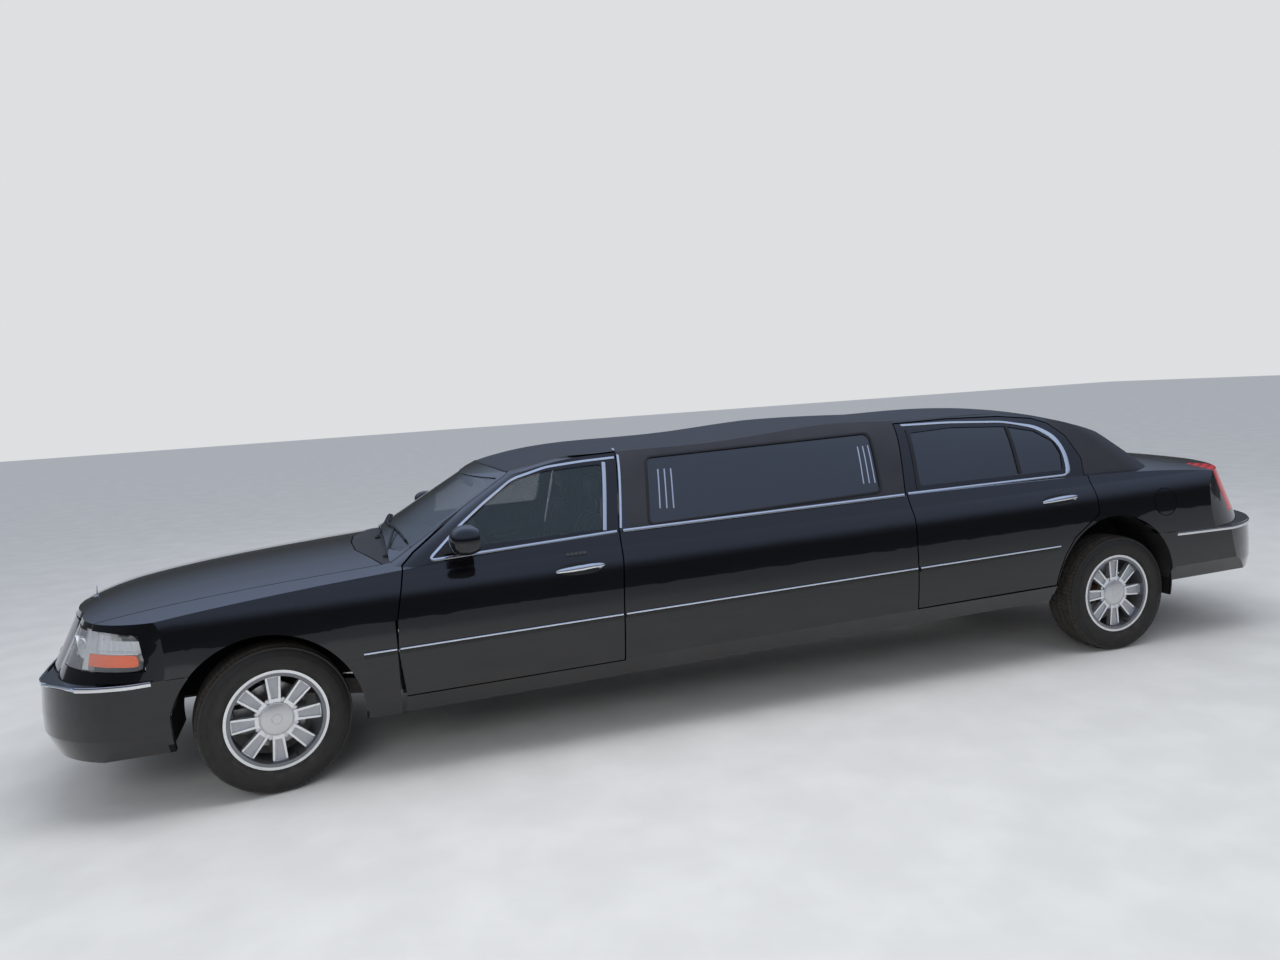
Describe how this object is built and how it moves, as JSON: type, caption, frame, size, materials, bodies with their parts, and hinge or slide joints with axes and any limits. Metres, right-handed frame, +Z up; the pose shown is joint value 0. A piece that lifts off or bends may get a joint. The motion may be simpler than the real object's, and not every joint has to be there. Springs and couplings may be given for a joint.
{
  "type": "stretch limousine",
  "caption": "Black stretch limousine with a hollow cabin, opening doors, hood, trunk lid and filler flap, steered front wheels and rolling wheels.",
  "frame": {"origin": "on the floor, under the middle of the car's length and width", "axes": "+X towards the nose, +Y to the car's left, +Z up"},
  "size_m": [7.2798, 2.27, 1.51],
  "materials": {
    "black_paint": "gloss",
    "roof_vinyl": "satin",
    "chrome": "polished",
    "clear_glass": "polished",
    "dark_glass": "polished",
    "lamp_clear": "polished",
    "lamp_red": "polished",
    "alloy": "machined",
    "tyre": "matte",
    "bare_iron": "matte",
    "chassis_black": "matte",
    "exhaust_steel": "satin",
    "cabin_leather": "satin",
    "cabin_plastic": "matte",
    "floor_carpet": "matte",
    "bumper_plastic": "gloss"
  },
  "bodies": {
    "body_shell": {"fenders": "black_paint", "quarter_panels": "black_paint", "stretch_sides": "black_paint", "roof": "roof_vinyl", "fixed_glass": "dark_glass", "front_bumper": "bumper_plastic", "rear_bumper": "bumper_plastic", "grille": "chrome", "headlamps": "lamp_clear", "tail_lamps": "lamp_red", "frame": "chassis_black", "floor": "floor_carpet", "engine": "bare_iron", "fuel_tank": "chassis_black", "exhaust": "exhaust_steel", "propeller_shaft": "bare_iron", "rear_axle": "bare_iron", "front_suspension": "chassis_black", "dashboard": "cabin_plastic", "steering_wheel": "cabin_plastic", "front_seats": "cabin_leather", "cabin_seats": "cabin_leather", "partition": "cabin_plastic"},
    "knuckle_left": {"knuckle_left": "bare_iron"},
    "front_door_left": {"front_door_left": "black_paint", "front_door_glass_left": "clear_glass", "mirror_left": "bumper_plastic"},
    "rear_door_left": {"rear_door_left": "black_paint", "rear_door_glass_left": "dark_glass"},
    "knuckle_right": {"knuckle_right": "bare_iron"},
    "front_door_right": {"front_door_right": "black_paint", "front_door_glass_right": "clear_glass", "mirror_right": "bumper_plastic"},
    "rear_door_right": {"rear_door_right": "black_paint", "rear_door_glass_right": "dark_glass"},
    "wheel_front_left": {"wheel_front_left": "alloy", "tyre_front_left": "tyre", "brake_disc_front_left": "bare_iron"},
    "wheel_front_right": {"wheel_front_right": "alloy", "tyre_front_right": "tyre", "brake_disc_front_right": "bare_iron"},
    "wheel_rear_left": {"wheel_rear_left": "alloy", "tyre_rear_left": "tyre", "brake_disc_rear_left": "bare_iron"},
    "wheel_rear_right": {"wheel_rear_right": "alloy", "tyre_rear_right": "tyre", "brake_disc_rear_right": "bare_iron"},
    "hood": {"hood": "black_paint"},
    "trunk_lid": {"trunk_lid": "black_paint"},
    "fuel_flap": {"fuel_flap": "black_paint"}
  },
  "joints": [
    {"name": "steer_left", "type": "hinge", "parent": "body_shell", "child": "knuckle_left", "pos_m": [2.61, 0.735, 0.347], "axis": [0, 0, 1], "range_deg": [-43.5, 20.5]},
    {"name": "spin_front_left", "type": "hinge", "parent": "knuckle_left", "child": "wheel_front_left", "pos_m": [2.59604, 0.80359, 0.347], "axis": [-0.1994, 0.9799, 0], "continuous": true},
    {"name": "spin_rear_left", "type": "hinge", "parent": "body_shell", "child": "wheel_rear_left", "pos_m": [-2.21, 0.833, 0.347], "axis": [0, 1, 0], "continuous": true},
    {"name": "front_door_left_hinge", "type": "hinge", "parent": "body_shell", "child": "front_door_left", "pos_m": [2.012, 0.997, 0.7], "axis": [0, 0, -1], "range_deg": [0, 65]},
    {"name": "rear_door_left_hinge", "type": "hinge", "parent": "body_shell", "child": "rear_door_left", "pos_m": [-0.789, 0.997, 0.75], "axis": [0, 0, -1], "range_deg": [0, 65]},
    {"name": "steer_right", "type": "hinge", "parent": "body_shell", "child": "knuckle_right", "pos_m": [2.61, -0.735, 0.347], "axis": [0, 0, 1], "range_deg": [-43.5, 20.5]},
    {"name": "spin_front_right", "type": "hinge", "parent": "knuckle_right", "child": "wheel_front_right", "pos_m": [2.62396, -0.80359, 0.347], "axis": [-0.1994, 0.9799, 0], "continuous": true},
    {"name": "spin_rear_right", "type": "hinge", "parent": "body_shell", "child": "wheel_rear_right", "pos_m": [-2.21, -0.833, 0.347], "axis": [0, 1, 0], "continuous": true},
    {"name": "front_door_right_hinge", "type": "hinge", "parent": "body_shell", "child": "front_door_right", "pos_m": [2.012, -0.997, 0.7], "axis": [0, 0, 1], "range_deg": [0, 65]},
    {"name": "rear_door_right_hinge", "type": "hinge", "parent": "body_shell", "child": "rear_door_right", "pos_m": [-0.789, -0.997, 0.75], "axis": [0, 0, 1], "range_deg": [0, 65]},
    {"name": "hood_hinge", "type": "hinge", "parent": "body_shell", "child": "hood", "pos_m": [2.05, 0, 1.025], "axis": [0, -1, 0], "range_deg": [0, 55]},
    {"name": "trunk_lid_hinge", "type": "hinge", "parent": "body_shell", "child": "trunk_lid", "pos_m": [-2.83, 0, 1.135], "axis": [0, 1, 0], "range_deg": [0, 70]},
    {"name": "fuel_flap_hinge", "type": "hinge", "parent": "body_shell", "child": "fuel_flap", "pos_m": [-2.455, 0.985, 0.88], "axis": [0, 0, -1], "range_deg": [0, 100]}
  ],
  "couplings": [
    {"joint": "steer_right", "follows": "steer_left", "ratio": 1}
  ]
}
